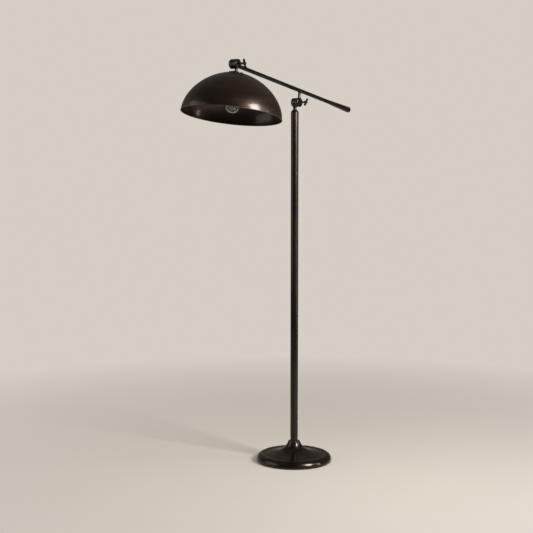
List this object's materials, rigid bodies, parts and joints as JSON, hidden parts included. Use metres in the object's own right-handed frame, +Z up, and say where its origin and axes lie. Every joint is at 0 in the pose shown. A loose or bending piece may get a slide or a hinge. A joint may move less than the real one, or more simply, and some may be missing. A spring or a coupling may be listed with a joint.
{
  "type": "bridge floor lamp",
  "caption": "Floor lamp with a weighted bell base, a straight pole and a tilting counterbalanced arm that carries a wide tilting dome shade over one bulb.",
  "frame": {"origin": "centre of the base's underside, on the floor, under the pole's axis", "axes": "+Z up along the pole; the arm lies in a plane along X with the shade towards -X and the counterweight towards +X; the knuckles turn about Y and the wing screws point to -Y"},
  "size_m": [1.0236, 0.386, 1.6254],
  "materials": {
    "felt": "dark felt",
    "base_finish": "dark oil-rubbed bronze, semi-gloss",
    "cast_iron": "as cast",
    "black_plastic": "matte",
    "zinc_steel": "zinc plated",
    "pole_finish": "dark oil-rubbed bronze, semi-gloss, uneven",
    "knuckle_finish": "dark oil-rubbed bronze, semi-gloss",
    "arm_finish": "dark oil-rubbed bronze, semi-gloss",
    "screw_finish": "dark oil-rubbed bronze",
    "shade_finish": "dark oil-rubbed bronze, semi-gloss, mottled brown and red-brown",
    "fibre": "vulcanised fibre",
    "holder_brass": "bright",
    "holder_plastic": "moulded phenolic",
    "bulb_metal": "rolled thread",
    "bulb_glass": "clear",
    "bulb_stem": "clear, thick",
    "filament": "warm yellow phosphor"
  },
  "bodies": {
    "stand": {"floor_pad": "felt", "base_shell": "base_finish", "base_weight": "cast_iron", "cord_bush": "black_plastic", "base_washer": "zinc_steel", "base_nut": "zinc_steel", "base_nipple": "zinc_steel", "pole_plug": "zinc_steel", "pole_tube": "pole_finish", "pole_cap": "knuckle_finish"},
    "swivel": {"swivel_washer": "zinc_steel", "swivel_knuckle": "knuckle_finish", "swivel_spring_washer": "zinc_steel", "swivel_nut": "zinc_steel"},
    "arm": {"tilt_friction_washer": "fibre", "arm_disc": "knuckle_finish", "arm_post": "arm_finish", "arm_tube": "arm_finish", "counterweight": "arm_finish", "head_disc": "knuckle_finish"},
    "tilt_screw": {"tilt_screw_washer": "zinc_steel", "tilt_wing_screw": "screw_finish"},
    "shade": {"shade_friction_washer": "fibre", "shade_disc": "knuckle_finish", "shade_post": "arm_finish", "shade_cap": "shade_finish", "shade_dome": "shade_finish", "shade_lock_washer": "zinc_steel", "shade_lock_nut": "zinc_steel", "holder_cap": "holder_brass", "holder_body": "holder_plastic", "holder_screw_shell": "holder_brass", "holder_centre_contact": "holder_brass", "bulb_cap": "bulb_metal", "bulb_glass": "bulb_glass", "bulb_mount": "bulb_stem", "bulb_filaments": "filament"},
    "shade_screw": {"shade_screw_washer": "zinc_steel", "shade_wing_screw": "screw_finish"}
  },
  "joints": [
    {"name": "pole_swivel", "type": "hinge", "parent": "stand", "child": "swivel", "pos_m": [0, 0, 1.4545], "axis": [0, 0, 1], "range_deg": [-165, 165]},
    {"name": "arm_tilt", "type": "hinge", "parent": "swivel", "child": "arm", "pos_m": [0, -0.019, 1.483], "axis": [0, 1, 0], "range_deg": [-40, 25]},
    {"name": "tilt_screw_turn", "type": "hinge", "parent": "swivel", "child": "tilt_screw", "pos_m": [0, -0.04, 1.483], "axis": [0, -1, 0], "range_deg": [0, 360]},
    {"name": "shade_tilt", "type": "hinge", "parent": "arm", "child": "shade", "pos_m": [-0.42489, -0.038, 1.60717], "axis": [0, 1, 0], "range_deg": [-20, 80]},
    {"name": "shade_screw_turn", "type": "hinge", "parent": "arm", "child": "shade_screw", "pos_m": [-0.42489, -0.059, 1.60717], "axis": [0, -1, 0], "range_deg": [0, 360]}
  ]
}
